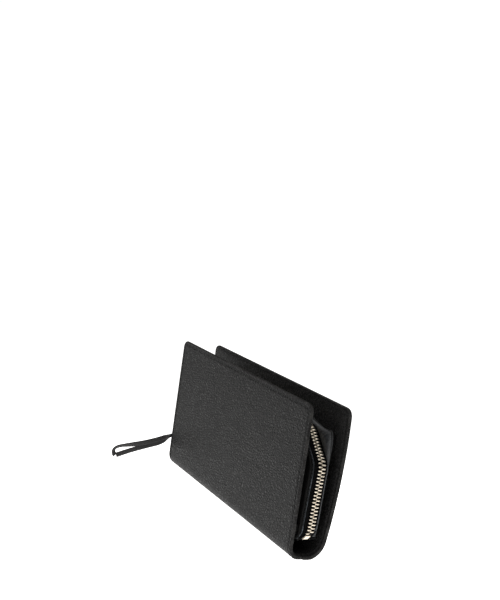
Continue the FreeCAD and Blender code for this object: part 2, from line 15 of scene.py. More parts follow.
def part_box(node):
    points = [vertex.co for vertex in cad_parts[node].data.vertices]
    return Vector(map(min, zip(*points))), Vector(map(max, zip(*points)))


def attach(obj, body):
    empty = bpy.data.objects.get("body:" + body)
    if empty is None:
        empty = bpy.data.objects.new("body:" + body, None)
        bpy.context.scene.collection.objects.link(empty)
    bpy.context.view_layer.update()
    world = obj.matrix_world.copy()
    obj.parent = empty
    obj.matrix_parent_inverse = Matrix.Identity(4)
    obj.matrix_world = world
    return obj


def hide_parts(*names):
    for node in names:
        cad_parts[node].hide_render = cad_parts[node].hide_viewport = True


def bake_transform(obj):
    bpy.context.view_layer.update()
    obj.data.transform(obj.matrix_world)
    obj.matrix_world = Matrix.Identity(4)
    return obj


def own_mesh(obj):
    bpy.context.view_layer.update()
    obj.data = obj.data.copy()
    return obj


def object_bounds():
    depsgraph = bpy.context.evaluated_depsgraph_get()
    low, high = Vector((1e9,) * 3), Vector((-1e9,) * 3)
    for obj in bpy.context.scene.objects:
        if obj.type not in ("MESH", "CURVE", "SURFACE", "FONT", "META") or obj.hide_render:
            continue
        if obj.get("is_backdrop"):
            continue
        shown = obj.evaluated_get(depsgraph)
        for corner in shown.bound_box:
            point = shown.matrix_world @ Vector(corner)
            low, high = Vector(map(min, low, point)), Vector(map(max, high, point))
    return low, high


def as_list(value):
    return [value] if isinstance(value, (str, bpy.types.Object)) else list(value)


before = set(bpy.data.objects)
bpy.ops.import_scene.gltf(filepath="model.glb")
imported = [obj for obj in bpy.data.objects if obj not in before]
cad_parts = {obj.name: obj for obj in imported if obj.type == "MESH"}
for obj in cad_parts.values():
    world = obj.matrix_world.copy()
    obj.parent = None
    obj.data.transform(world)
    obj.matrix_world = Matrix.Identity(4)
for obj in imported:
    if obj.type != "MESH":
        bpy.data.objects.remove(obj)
cad_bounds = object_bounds()

MM = 0.001


def corners(node):
    """Lowest and highest corner of a CAD node, in millimetres."""
    low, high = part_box(node)
    return [c / MM for c in low], [c / MM for c in high]


# ---------------------------------------------------------------- driving dimensions

HALF_LENGTH = corners("front_cover_leather")[1][0]
TOP = {side: corners(f"{side}_cover_leather")[1][2] for side in ("front", "back")}

# the fold of each cover: how far its centre is from the middle, its radius, and the cover's lean
FOLD = {"front": (3.42, 8.5, 1.84), "back": (0.12, 13.2, 6.76)}
PRESSED = 0.5  # how far standing flattens the fold
BACK_BOW = 424.0  # radius of the back cover's slight bow
FOLD_MIDDLE = -1.3
CORNER = 5.0
COVER_THICK = 2.6
LINING_DEPTH = 1.9
LINING_INSET = 1.4
STITCH_INSET = 2.6
# the cover leather is turned over the boards, and swells a little past its cut size
EDGE_FOLD = {"front": 0.1, "back": 0.7}

POUCH_FLOOR = corners("pouch_bottom")[0][2]
POUCH_HALF = corners("pouch_bottom")[1][0]
FRONT_WALL_Y = corners("pouch_front_wall")[0][1]
REAR_WALL_Y = corners("pouch_rear_wall")[1][1]
REAR_WALL_HALF = corners("pouch_rear_wall")[1][0]
REAR_WALL_TOP = corners("pouch_rear_wall")[1][2]
WALL_THICK = 1.0
REAR_SEAM_INSET = 1.3
GUSSET_FRONT_EDGE = corners("pouch_gusset_front")[1][1]
GUSSET_REAR_EDGE = corners("pouch_gusset_rear")[0][1]
GUSSET_THICK = 0.9

# the zip's line round three sides of the pouch, at the middle of the tape
ZIP_CORNERS = [(96.1, 13.0), (96.1, 60.2), (76.0, 78.8)]
ZIP_RADII = [8.0, 14.0]
ZIP_Y = 1.3
# near the floor the chain and the rear gusset's edge curl forwards: how far, starting at which
# height, and over what drop
FOOT_CURL = (3.5, 19.0, 6.0)
GUSSET_CURL = (6.0, 21.0, 8.0)
TAPE_THICK = 0.6
TOOTH_PITCH = 2.23
TOOTH_REACH = 2.7
TOOTH_MESH = 0.35
STOP_LONG = 2.4
STOP_REACH = 2.15
STOP_GAP = 0.3

STRAP_WIDE = 3.9
STRAP_THICK = 1.3


# ---------------------------------------------------------------- camera

def camera():
    """Stands at the photograph's viewing angle; the picture is 500 by 600."""
    place = Vector((606.67, -341.65, 213.73)) * MM
    yaw, down, roll = math.radians(151.839), math.radians(5.679), math.radians(10.0)
    ahead = Vector(
        (math.cos(yaw) * math.cos(down), math.sin(yaw) * math.cos(down), -math.sin(down))
    )
    right = Vector((math.sin(yaw), -math.cos(yaw), 0))
    up = right.cross(ahead)
    turned_right = right * math.cos(roll) + up * math.sin(roll)
    turned_up = up * math.cos(roll) - right * math.sin(roll)
    data = bpy.data.cameras.new("camera")
    data.sensor_width = 36
    data.lens = 60.99
    data.clip_start = 0.01
    made = bpy.data.objects.new("camera", data)
    bpy.context.scene.collection.objects.link(made)
    made.matrix_world = Matrix.Translation(place) @ Matrix(
        (turned_right, turned_up, -ahead)
    ).transposed().to_4x4()
    bpy.context.scene.camera = made


camera()


# ---------------------------------------------------------------- materials

class Look:
    """A material being put together from nodes."""

    def __init__(self, name, **sockets):
        self.material = bpy.data.materials.new(name)
        self.material.use_nodes = True
        self.tree = self.material.node_tree
        self.shader = self.tree.nodes["Principled BSDF"]
        for socket, value in sockets.items():
            self.shader.inputs[socket.replace("_", " ")].default_value = value
        self.coords = self.tree.nodes.new("ShaderNodeTexCoord")

    def join(self, value, socket):
        if isinstance(value, bpy.types.NodeSocket):
            self.tree.links.new(value, socket)
        elif value is not None:
            socket.default_value = value

    def set(self, socket, value):
        self.join(value, self.shader.inputs[socket])

    def add(self, kind, output, inputs, **settings):
        made = self.tree.nodes.new("ShaderNode" + kind)
        for name, value in settings.items():
            setattr(made, name, value)
        for key, value in inputs.items():
            self.join(value, made.inputs[key])
        return made.outputs[output]

    def where(self, uv=False):
        return self.coords.outputs["UV" if uv else "Object"]

    def noise(self, scale, detail, stretch=None):
        at = self.where()
        if stretch:
            at = self.add("Mapping", 0, {"Vector": at, "Scale": stretch})
        return self.add("TexNoise", 0, {"Vector": at, "Scale": scale, "Detail": detail})

    def cells(self, scale, at):
        return self.add("TexVoronoi", 0, {"Vector": at, "Scale": scale}, feature="DISTANCE_TO_EDGE")

    def wave(self, scale, at):
        return self.add("TexWave", 1, {"Vector": at, "Scale": scale})

    def sums(self, operation, a, b):
        return self.add("Math", 0, {0: a, 1: b}, operation=operation)

    def spread(self, value, low, high, to_low, to_high):
        return self.add(
            "MapRange", 0, {0: value, 1: low, 2: high, 3: to_low, 4: to_high},
            interpolation_type="SMOOTHSTEP",
        )

    def tint(self, factor, first, second):
        made = self.tree.nodes.new("ShaderNodeMix")
        made.data_type = "RGBA"
        self.join(factor, made.inputs["Factor"])
        self.join(first, made.inputs[6])
        self.join(second, made.inputs[7])
        return made.outputs[2]

    def attribute(self, name):
        return self.add("Attribute", "Fac", {}, attribute_name=name)

    def jittered(self, scale, amount):
        """Object coordinates pushed about by noise, so that cells aren't regular."""
        push = self.add("TexNoise", 1, {"Vector": self.where(), "Scale": scale, "Detail": 2.0})
        centred = self.add("VectorMath", 0, {0: push, 1: (0.5, 0.5, 0.5)}, operation="SUBTRACT")
        scaled = self.add("VectorMath", 0, {0: centred, "Scale": amount}, operation="SCALE")
        return self.add("VectorMath", 0, {0: self.where(), 1: scaled}, operation="ADD")

    def bump(self, height, distance):
        self.set("Normal", self.add("Bump", 0, {"Height": height, "Distance": distance}))


def grey(value, warm=0.0):
    return (value * (1 + warm), value, value * (1 - warm), 1)


def leather(name, dark, light, pebble, depth, rough, wear_and_highlight_edge=0.02, warm=0.03, shine=0.3, wear_and_highlight_reach=1.1):
    """Full-grain leather: domed pebbles with creases between them, painted darker in the creases as
    painted shade, fine pores, cloudy dye, and edges lightened by burnishing from handling and,
    where the edge colour is set light, by a painted highlight. pebble, depth and wear (how far the
    lightened edge goes in from an edge) are millimetres."""
    look = Look(name, Specular_IOR_Level=shine)
    at = look.jittered(500 / pebble, 0.9 * pebble * MM)
    small = look.spread(look.cells(1000 / pebble, at), 0.0, 0.3, 0.0, 1.0)
    large = look.spread(look.cells(560 / pebble, at), 0.0, 0.22, 0.0, 1.0)
    patches = look.spread(look.noise(55, 2), 0.42, 0.6, 0.35, 0.75)
    grain = look.add("Mix", 0, {0: patches, 2: small, 3: look.sums("MULTIPLY", small, large)})
    pores = look.noise(5200, 2)
    weighted = look.sums("MULTIPLY", grain, 0.94), look.sums("MULTIPLY", pores, 0.06)
    look.bump(look.sums("ADD", *weighted), depth * MM)
    clouds = look.noise(38, 3)
    dye = look.tint(look.spread(clouds, 0.35, 0.68, 0, 1), grey(dark, warm), grey(light, warm))
    # painted shade: the colour is darkened in the creases between the pebbles
    creased = look.tint(look.spread(grain, 0, 0.6, 0, 1), grey(dark * 0.55, warm), dye)
    # the edge tone: burnish from handling, and, where the edge colour is set light, a painted
    # highlight line along the edge
    wear_and_highlight_patches = look.spread(look.noise(160, 4), 0.35, 0.7, 0.2, 1.0)
    near_edge = look.spread(look.attribute("edge"), 0.1, wear_and_highlight_reach, 1.0, 0.0)
    wear_and_highlight_mask = look.sums("MULTIPLY", near_edge, wear_and_highlight_patches)
    look.set("Base Color", look.tint(wear_and_highlight_mask, creased, grey(wear_and_highlight_edge, warm)))
    polish = look.spread(grain, 0.1, 0.9, rough + 0.14, rough - 0.04)
    cut = look.sums("MULTIPLY", look.spread(look.attribute("edge"), 0.05, 0.7, 1.0, 0.0), 0.25)
    soft = look.sums("ADD", cut, look.sums("MULTIPLY", clouds, 0.08))
    look.set("Roughness", look.sums("ADD", polish, soft))
    return look.material


def metal(name, colour, dull, rough):
    """Plated metal: fine scratches, and a duller film in patches."""
    look = Look(name, Metallic=1.0)
    film = look.spread(look.noise(420, 4), 0.4, 0.7, 0, 1)
    look.set("Base Color", look.tint(film, colour, dull))
    lines = look.noise(2600, 3, stretch=(1, 7, 0.35))
    look.set("Roughness", look.spread(lines, 0.3, 0.75, rough, rough + 0.16))
    look.bump(look.sums("ADD", lines, look.noise(900, 2)), 0.02 * MM)
    return look.material


def woven(name, thread, dark, light):
    """Zip tape: a herringbone of fine yarns, with fuzz that catches the light."""
    look = Look(name, Sheen_Weight=0.015, Sheen_Roughness=0.5, Specular_IOR_Level=0.03)
    flat = look.where(uv=True)
    split = look.add("SeparateXYZ", "X", {0: flat})
    along = look.add("SeparateXYZ", "Y", {0: flat})
    folded = look.add("Math", 0, {0: split, 1: 1.15}, operation="PINGPONG")
    slanted = look.add("CombineXYZ", 0, {"X": look.sums("ADD", folded, along), "Y": split})
    twill = look.wave(0.5 / thread, slanted)
    across = look.wave(0.45 / thread, flat)
    yarns = look.sums("MULTIPLY", twill, look.spread(across, 0, 1, 0.6, 1.0))
    fuzz = look.noise(3800, 2)
    look.bump(look.sums("ADD", yarns, look.sums("MULTIPLY", fuzz, 0.4)), 0.12 * MM)
    shade = look.sums("MULTIPLY", yarns, look.spread(look.noise(260, 3), 0.3, 0.7, 0.7, 1.0))
    look.set("Base Color", look.tint(shade, grey(dark), grey(light)))
    look.set("Roughness", look.spread(fuzz, 0.3, 0.7, 0.72, 0.92))
    return look.material


def thread(name, dark, light):
    """Bonded sewing thread: plies twisted along its length."""
    look = Look(name, Sheen_Weight=0.05, Specular_IOR_Level=0.3)
    flat = look.where(uv=True)
    twist = look.add("SeparateXYZ", "X", {0: flat})
    along = look.add("SeparateXYZ", "Y", {0: flat})
    slanted = look.sums("ADD", twist, look.sums("MULTIPLY", along, 1.6))
    turns = look.wave(1.0, look.add("CombineXYZ", 0, {"X": slanted}))
    look.bump(turns, 0.05 * MM)
    fibres = look.noise(4200, 2)
    look.set("Base Color", look.tint(look.sums("MULTIPLY", turns, fibres), grey(dark), grey(light)))
    look.set("Roughness", look.spread(turns, 0, 1, 0.6, 0.42))
    return look.material


def paper_floor():
    """Seamless white paper with a faint tooth, on a light table."""
    look = Look("studio_paper", Specular_IOR_Level=0.2)
    look.shader.inputs["Emission Color"].default_value = (1, 0.995, 0.985, 1)
    away = look.add("VectorMath", "Value", {0: look.where()}, operation="LENGTH")
    look.set("Emission Strength", look.spread(away, 0.09, 0.3, 1.5, 0.62))
    fibre = look.noise(700, 3)
    look.set("Base Color", look.tint(fibre, grey(0.93), grey(0.96)))
    look.set("Roughness", look.spread(fibre, 0.3, 0.7, 0.8, 0.95))
    return look.material


COVER_LEATHER = leather("cover_leather", 0.0045, 0.0105, 1.8, 0.68, 0.46, wear_and_highlight_edge=0.032, shine=0.21)
LINING_LEATHER = leather("lining_leather", 0.008, 0.013, 1.7, 0.5, 0.48, wear_and_highlight_edge=0.014, shine=0.3)
POUCH_LEATHER = leather("pouch_leather", 0.006, 0.011, 0.9, 0.08, 0.4, wear_and_highlight_edge=0.03, warm=-0.05)
# painted highlight: the rear gusset is coloured lighter and bluer than the pouch leather, standing
# for the light its puckered corner catches
PAINTED_HIGHLIGHT_FLAP_LEATHER = leather(
    "flap_leather_painted_highlight", 0.022, 0.042, 1.1, 0.1, 0.3, wear_and_highlight_edge=0.05, warm=-0.1, shine=0.8, wear_and_highlight_reach=0.25
)
# painted shade: the gusset is darkened below the pouch leather's black for the shade inside the
# pouch; its light edge colour is partly a scuffed edge, partly a painted highlight line
GUSSET_LEATHER = leather(
    "gusset_leather", 0.0015, 0.003, 0.9, 0.06, 0.5, wear_and_highlight_edge=0.17, warm=-0.12, shine=0.06, wear_and_highlight_reach=0.85
)
POCKET_LEATHER = leather("pocket_leather", 0.003, 0.005, 0.9, 0.09, 0.55, wear_and_highlight_edge=0.006, shine=0.15)
STRAP_LEATHER = leather("strap_leather", 0.010, 0.018, 0.7, 0.07, 0.42, wear_and_highlight_edge=0.03)
# painted shade: the black tape is darkened further for the shade inside the pouch
ZIP_TAPE = woven("zip_tape", 0.34, 0.0005, 0.0025)
THREAD = thread("sewing_thread", 0.004, 0.014)
NICKEL_GOLD = metal("zip_metal", (0.82, 0.74, 0.61, 1), (0.58, 0.5, 0.4, 1), 0.2)
CHROME = metal("slider_metal", (0.78, 0.77, 0.74, 1), (0.55, 0.54, 0.51, 1), 0.16)


# ---------------------------------------------------------------- mesh helpers

def new_object(name, verts, faces, material, uvs=None, edge=None):
    """A smooth mesh object. verts are millimetres; uvs and edge are one value for each vertex."""
    data = bpy.data.meshes.new(name)
    data.from_pydata([tuple(v) for v in np.asarray(verts) * MM], [], [tuple(f) for f in faces])
    if uvs is not None:
        layer = data.uv_layers.new(name="flat")
        loops = np.zeros(len(data.loops), dtype=np.int32)
        data.loops.foreach_get("vertex_index", loops)
        layer.data.foreach_set("uv", np.asarray(uvs, float)[loops].ravel())
    if edge is not None:
        attribute = data.attributes.new("edge", "FLOAT", "POINT")
        attribute.data.foreach_set("value", np.asarray(edge, np.float32))
    data.polygons.foreach_set("use_smooth", [True] * len(data.polygons))
    data.materials.append(material)
    made = bpy.data.objects.new(name, data)
    bpy.context.scene.collection.objects.link(made)
    shaped = bmesh.new()
    shaped.from_mesh(data)
    bmesh.ops.remove_doubles(shaped, verts=shaped.verts, dist=1e-7)
    bmesh.ops.recalc_face_normals(shaped, faces=shaped.faces)
    shaped.to_mesh(data)
    shaped.free()
    return made


def finish_piece(piece, body, slot, *nodes):
    """Rides on one body; when given (a, b, start, end) for two, it is only baked where it stands
    and does not bend between them.
    """
    if isinstance(body, str):
        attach(piece, body)
    else:
        a, b, start, end = body
        [c * MM for c in start]
        [c * MM for c in end]
        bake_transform(piece)
    if nodes:
        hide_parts(*nodes)
    return piece


def graded(total, fine, step):
    """Distances from 0 to total: the fine ones first, then about equal steps."""
    count = max(1, round((total - fine[-1]) / step))
    return list(fine) + list(np.linspace(fine[-1], total, count + 1)[1:])


EDGE_STEPS = [0, 0.08, 0.22, 0.42, 0.7, 1.05, 1.45, 1.85, 2.15, 2.38, 2.6, 2.82, 3.05]
EDGE_STEPS += [3.4, 4.1, 5.2, 7]
THIN_STEPS = [0, 0.06, 0.16, 0.32, 0.6, 0.95, 1.2, 1.45, 1.8, 2.5, 4]


def distances(line):
    """How far each point of a line is along it."""
    return np.concatenate([[0], np.cumsum(np.sqrt((np.diff(line, axis=0) ** 2).sum(axis=1)))])


def directions(line):
    ahead = np.gradient(line, axis=0)
    return ahead / np.sqrt((ahead**2).sum(axis=1))[:, None]


def at(place, along, *lines):
    """The coordinates that lines have at a place, where along gives the place of each point."""
    return [np.interp(place, along, column) for line in lines for column in line.T]


def smoothed(line, reach, spread):
    """Each point averaged with its neighbours. The result is reach points shorter at each end."""
    kernel = np.exp(-0.5 * (np.arange(-reach, reach + 1) / spread) ** 2)
    kernel /= kernel.sum()
    return np.stack([np.convolve(column, kernel, mode="valid") for column in line.T], axis=1)


def tube(first, rings, around):
    """Faces of a tube with closed ends, whose rings of points start at number first."""
    faces = []
    for i in range(rings - 1):
        for k in range(around):
            a, b = first + i * around + k, first + i * around + (k + 1) % around
            faces.append((a, b, b + around, a + around))
    last = first + (rings - 1) * around
    return faces + [tuple(range(first, first + around))[::-1], tuple(range(last, last + around))]


def distance_to(points, line):
    """Distance of each point to a line of straight pieces, both in a plane."""
    best = np.full(len(points), 1e9)
    for a, b in zip(line[:-1], line[1:]):
        run = b - a
        length = run @ run
        if length < 1e-12:
            continue
        t = np.clip(((points - a) @ run) / length, 0, 1)
        away = points - (a + t[:, None] * run)
        best = np.minimum(best, np.sqrt((away**2).sum(axis=1)))
    return best


def slab(name, place, half, span, thick, material, fine, step, round_edge=None,
         open_low=False, groove=None, shape=None, wear_and_highlight_side=0):
    """A closed sheet with rounded edges. Its outline lies in a plane of (across, along), where
    half(along) is half its width and span its two ends. place(across, along, depth) puts a point
    in the row frame, with depth measured from the outer face. groove is (distance from the edge,
    width, depth) of a creased line; shape(across, along) moves both faces inwards;
    wear_and_highlight_side is 1 or -1 where only the edge on that side gets the lightened edge
    tone, part scuffing and part painted highlight; open_low leaves the lower end square, with no
    edge of its own, because the sheet goes on into its neighbour there."""
    low, high = span
    middle = (high - low) / 2
    if open_low:
        along = [high - d for d in graded(high - low, fine, step)][::-1]
    else:
        ends = graded(middle, fine, step)
        along = [low + d for d in ends] + [high - d for d in ends[:-1][::-1]]
    widest = max(half(a) for a in along)
    sides = graded(widest, fine, step)
    ratio = [-(widest - d) / widest for d in sides]
    ratio = np.array(ratio + [-r for r in ratio[:-1][::-1]])
    along = np.array(along)
    halves = np.array([half(a) for a in along])
    x = halves[:, None] * ratio[None, :]
    s = np.repeat(along[:, None], len(ratio), axis=1)
    fine_along = np.linspace(low, high, 400)
    right = np.array([(half(a), a) for a in fine_along])
    left = np.array([(-half(a), a) for a in fine_along])
    rim = np.concatenate([left, right[::-1]])
    if not open_low:
        rim = np.concatenate([rim, left[:1]])
    e = distance_to(np.stack([x.ravel(), s.ravel()], axis=1), rim).reshape(x.shape)
    e[:, 0] = e[:, -1] = e[-1, :] = 0
    if not open_low:
        e[0, :] = 0
    reach = round_edge or thick / 2
    t = np.clip((reach - e) / reach, 0, 1)
    sunk = (thick / 2) * (1 - (1 - t**2.3) ** (1 / 2.3))
    if groove:
        at, wide, deep = groove
        sunk = sunk + deep * np.exp(-(((e - at) / (wide / 2)) ** 2))
    spots = list(zip(x.ravel(), s.ravel()))
    moved = np.array([shape(*spot) if shape else 0 for spot in spots])
    wear_and_highlight_edge = e if not wear_and_highlight_side else np.abs(halves[:, None] * wear_and_highlight_side - x)
    rows, columns = x.shape
    verts = []
    for face in (sunk, thick - sunk):
        verts += [place(*spot, depth) for spot, depth in zip(spots, face.ravel() + moved)]
    faces = []
    inner = rows * columns
    for i in range(rows - 1):
        for j in range(columns - 1):
            a = i * columns + j
            b, c, d = a + 1, a + columns + 1, a + columns
            faces.append((a, b, c, d))
            faces.append((inner + a, inner + d, inner + c, inner + b))
    if open_low:
        faces += [(j, inner + j, inner + j + 1, j + 1) for j in range(columns - 1)]
    return new_object(name, verts, faces, material, spots * 2, np.tile(wear_and_highlight_edge.ravel(), 2))


def wavy(x, s, across, along, seed):
    """Smooth noise between about -1 and 1, with waves of the given lengths."""
    return noise.noise(Vector((x / across, s / along, seed)))


def rounded_half(half, high, radius):
    """Half the width of a panel whose two upper corners are rounded."""
    def width(along):
        over = along - (high - radius)
        if over <= 0:
            return half
        return half - radius + math.sqrt(max(radius**2 - min(over, radius) ** 2, 0))
    return width


def loop_inside(half, low, high, radius, inset):
    """The line that runs inset inside a panel with rounded upper corners, from its lower left end
    over the top to its lower right end, sampled every half millimetre or so."""
    side, top, turn = half - inset, high - inset, max(radius - inset, 0.6)
    right = [(side, low), (side, top - turn)]
    for step in range(1, 8):
        angle = math.radians(90 * step / 8)
        right.append((side - turn + turn * math.cos(angle), top - turn + turn * math.sin(angle)))
    right.append((side - turn, top))
    return [(-x, s) for x, s in right] + right[::-1]


def along_line(points, distance):
    """Place and direction at a distance along a line of straight pieces."""
    for a, b in zip(points[:-1], points[1:]):
        run = math.hypot(b[0] - a[0], b[1] - a[1])
        if distance <= run or b is points[-1]:
            t = distance / run
            way = ((b[0] - a[0]) / run, (b[1] - a[1]) / run)
            return (a[0] + (b[0] - a[0]) * t, a[1] + (b[1] - a[1]) * t), way
        distance -= run
    raise ValueError("past the end")


def line_length(points):
    return sum(math.hypot(b[0] - a[0], b[1] - a[1]) for a, b in zip(points[:-1], points[1:]))


def stitches(name, place, lines, pitch=3.1, long=2.5, thick=0.42, up=1):
    """Sewing along lines on a sheet: each stitch bows out of the surface between its two holes.
    up is 1 on the face at depth 0, and -1 on the other face."""
    rings, around, turn = 7, 6, math.radians(6)
    hole, bow = 0.2, 0.32
    verts, faces, uvs = [], [], []
    for line in lines:
        total = line_length(line)
        count = int(total / pitch)
        lead = (total - (count - 1) * pitch) / 2
        for number in range(count):
            (cx, cs), (wx, ws) = along_line(line, lead + number * pitch)
            wx, ws = (
                wx * math.cos(turn) - ws * math.sin(turn),
                wx * math.sin(turn) + ws * math.cos(turn),
            )
            first = len(verts)
            for i in range(rings):
                t = i / (rings - 1) * 2 - 1
                rise = bow * (1 - t**2) - hole
                radius = thick / 2 * (1 - 0.55 * abs(t) ** 3)
                for k in range(around):
                    angle = 2 * math.pi * k / around
                    aside = radius * math.cos(angle)
                    height = rise + radius * 0.85 * math.sin(angle)
                    x = cx + wx * t * long / 2 - ws * aside
                    s = cs + ws * t * long / 2 + wx * aside
                    verts.append(place(x, s, -up * height))
                    uvs.append((k / around * 2, t * long / 2))
            faces += tube(first, rings, around)
    return new_object(name, verts, faces, THREAD, uvs)


def boxy(divisions, power):
    """A unit cube's surface swollen into a rounded block: its points and faces."""
    index, points, faces = {}, [], []

    def point(p):
        key = tuple(round(c, 6) for c in p)
        if key not in index:
            index[key] = len(points)
            size = sum(abs(c) ** power for c in p) ** (1 / power)
            points.append(tuple(c / size for c in p))
        return index[key]

    for axis in range(3):
        for sign in (-1, 1):
            for i in range(divisions):
                for j in range(divisions):
                    ring = []
                    for di, dj in ((0, 0), (1, 0), (1, 1), (0, 1)):
                        p = [0.0, 0.0, 0.0]
                        p[axis] = sign
                        p[(axis + 1) % 3] = (i + di) / divisions * 2 - 1
                        p[(axis + 2) % 3] = (j + dj) / divisions * 2 - 1
                        ring.append(point(p))
                    faces.append(tuple(ring if sign > 0 else ring[::-1]))
    return np.array(points), faces


# ---------------------------------------------------------------- covers

def section(side):
    """Outer line of one cover from the middle of the fold to its top, pressed flat and eased
    where the wallet stands on it: places, outward directions and distances along it."""
    offset, radius, lean = FOLD[side]
    sign = {"front": -1, "back": 1}[side]
    lean = math.radians(lean)
    centre = radius - PRESSED
    ground = math.asin(centre / radius)
    ground_end = sign * (offset + radius * math.cos(ground))
    points = [(y, 0.0) for y in np.linspace(FOLD_MIDDLE, ground_end, 60)]
    for angle in np.linspace(ground, lean, 160)[1:]:
        out, down = radius * math.cos(angle), radius * math.sin(angle)
        points.append((sign * (offset + out), centre - down))
    knee_y, knee_z = points[-1]
    if side == "front":
        for z in np.linspace(knee_z, TOP[side], 500)[1:]:
            points.append((knee_y - (z - knee_z) * math.tan(lean), z))
    else:
        longer = BACK_BOW - radius
        bow_y = offset - longer * math.cos(lean)
        bow_z = centre + longer * math.sin(lean)
        for z in np.linspace(knee_z, TOP[side], 500)[1:]:
            points.append((bow_y + math.sqrt(BACK_BOW**2 - (z - bow_z) ** 2), z))
    points = np.array(points)
    along = distances(points)
    even = np.arange(0, along[-1], 0.1)
    line = np.stack(at(even, along, points), axis=1)
    # the line goes on past both ends while its corners are eased
    reach = 25
    mirrored = line[1 : reach + 1][::-1] * [-1, 1] + [2 * FOLD_MIDDLE, 0]
    beyond = line[-1] + (line[-1] - line[-2]) * np.arange(1, reach + 1)[:, None]
    line = smoothed(np.concatenate([mirrored, line, beyond]), reach, 9.0)
    ahead = directions(line)
    outward = np.stack([ahead[:, 1] * sign, -ahead[:, 0] * sign], axis=1)
    return line, outward, even


SECTIONS = {side: section(side) for side in ("front", "back")}


def cover_place(side, deeper=0.0):
    line, outward, along = SECTIONS[side]

    def place(x, s, depth):
        y, z, out_y, out_z = at(s, along, line, outward)
        if s > along[-1]:
            z += s - along[-1]
        depth = depth + deeper
        return (x, y - out_y * depth, max(z - out_z * depth, 0.0))

    return place


def handled(seed):
    """A sheet that isn't quite flat, from use."""
    def shape(x, s):
        return 0.12 * (wavy(x, s, 55, 40, seed) + 0.35 * wavy(x, s, 17, 14, seed + 9))
    return shape


# which bodies each cover's leather sits between, and the places where a bend would start and end;
# nothing here bends it
HINGES = {
    "front": ("spine", "front_cover", (0, -6.3, 0.8), (0, -11.6, 6.5)),
    "back": ("spine", "back_cover", (0, 4.6, 0.2), (0, 13.0, 8.5)),
}


def covers():
    for side, seed in (("front", 3), ("back", 8)):
        high = SECTIONS[side][2][-1]
        outset = EDGE_FOLD[side]
        spine_nodes = ["spine_leather"] if side == "front" else []
        shell = slab(
            f"{side}_cover_shell",
            cover_place(side, -outset * 0.5),
            rounded_half(HALF_LENGTH + outset, high + outset * 0.5, CORNER + 0.4),
            (0, high + outset * 0.5),
            COVER_THICK - 0.35 + outset * 0.5,
            COVER_LEATHER,
            EDGE_STEPS,
            2.0,
            round_edge=0.85,
            open_low=True,
            groove=(STITCH_INSET + outset, 1.0, 0.36),
            shape=handled(seed),
        )
        shell_nodes = [f"{side}_cover_leather", f"{side}_board", *spine_nodes]
        finish_piece(shell, HINGES[side], "cover_leather", *shell_nodes)
        lining_nodes = ["spine_lining"] if side == "front" else []
        lining = slab(
            f"{side}_cover_lining",
            cover_place(side, LINING_DEPTH),
            rounded_half(HALF_LENGTH - LINING_INSET, high - LINING_INSET, CORNER - LINING_INSET),
            (0, high - LINING_INSET),
            COVER_THICK - LINING_DEPTH,
            LINING_LEATHER,
            EDGE_STEPS,
            2.2,
            round_edge=0.5,
            open_low=True,
            groove=(STITCH_INSET - LINING_INSET, 0.9, 0.15),
            shape=handled(seed),
        )
        finish_piece(lining, HINGES[side], "lining_leather", f"{side}_lining", *lining_nodes)
        seam = [loop_inside(HALF_LENGTH, 0, high, CORNER, STITCH_INSET)]
        bent = handled(seed)
        outer, inner = cover_place(side, -outset * 0.5), cover_place(side, COVER_THICK)
        for where, place, up in (("outer", outer, 1), ("inner", inner, -1)):
            sewn = stitches(
                f"{side}_cover_stitching_{where}",
                lambda x, s, d, place=place: place(x, s, d + bent(x, s)),
                seam,
                up=up,
            )
            finish_piece(sewn, HINGES[side], "cover_leather")


covers()


# ---------------------------------------------------------------- pouch

def zip_line():
    """The zip's line sampled from its right foot over the top to its left foot: places in X and Z,
    directions out of the pouch, and distances."""
    right = [np.array(p) for p in ZIP_CORNERS]
    points = right + [np.array((-p[0], p[1])) for p in ZIP_CORNERS[::-1]]
    radii = ZIP_RADII + ZIP_RADII[::-1]
    line = [points[0]]
    for before, corner, after, radius in zip(points, points[1:], points[2:], radii):
        into = (corner - before) / np.linalg.norm(corner - before)
        out = (after - corner) / np.linalg.norm(after - corner)
        turn = math.acos(np.clip(into @ out, -1, 1))
        cut = radius * math.tan(turn / 2)
        centre_way = (out - into) / np.linalg.norm(out - into)
        centre = corner + centre_way * radius / math.cos(turn / 2)
        first, last = corner - into * cut, corner + out * cut
        start = math.atan2(*(first - centre)[::-1])
        end = math.atan2(*(last - centre)[::-1])
        for angle in np.linspace(start, end, 40):
            line.append(centre + radius * np.array((math.cos(angle), math.sin(angle))))
    line.append(points[-1])
    line = np.array(line)
    along = distances(line)
    even = np.linspace(0, along[-1], 1500)
    line = np.stack(at(even, along, line), axis=1)
    ahead = directions(line)
    return line, np.stack([ahead[:, 1], -ahead[:, 0]], axis=1), even


ZIP_LINE, ZIP_OUT, ZIP_ALONG = zip_line()
ZIP_LENGTH = ZIP_ALONG[-1]


def curled(z, curl):
    """How far a foot bends forwards at a height."""
    far, start, drop = curl
    return -far * max(0.0, (start - z) / drop) ** 2


def zip_place(y_middle, lift=0.0):
    """Across the zip is Y, along it is its line, and depth goes into the pouch."""
    def place(across, along, depth):
        x, z, out_x, out_z = at(along, ZIP_ALONG, ZIP_LINE, ZIP_OUT)
        rise = lift - depth
        return (x + out_x * rise, y_middle + across + curled(z, FOOT_CURL), z + out_z * rise)
    return place


def rear_top(x):
    """The rear wall's upper edge: it sags between its middle and the raised ear at each corner."""
    return float(
        np.interp(
            abs(x),
            [0, 60, 67, 75, 83, 88, 90.5, 92, 93.1, 93.9, REAR_WALL_HALF],
            [82.9, 83.1, 83.0, 81.2, 80.2, 80.6, 81.0, 80.5, 78.4, 75.0, 70.5],
        )
    )


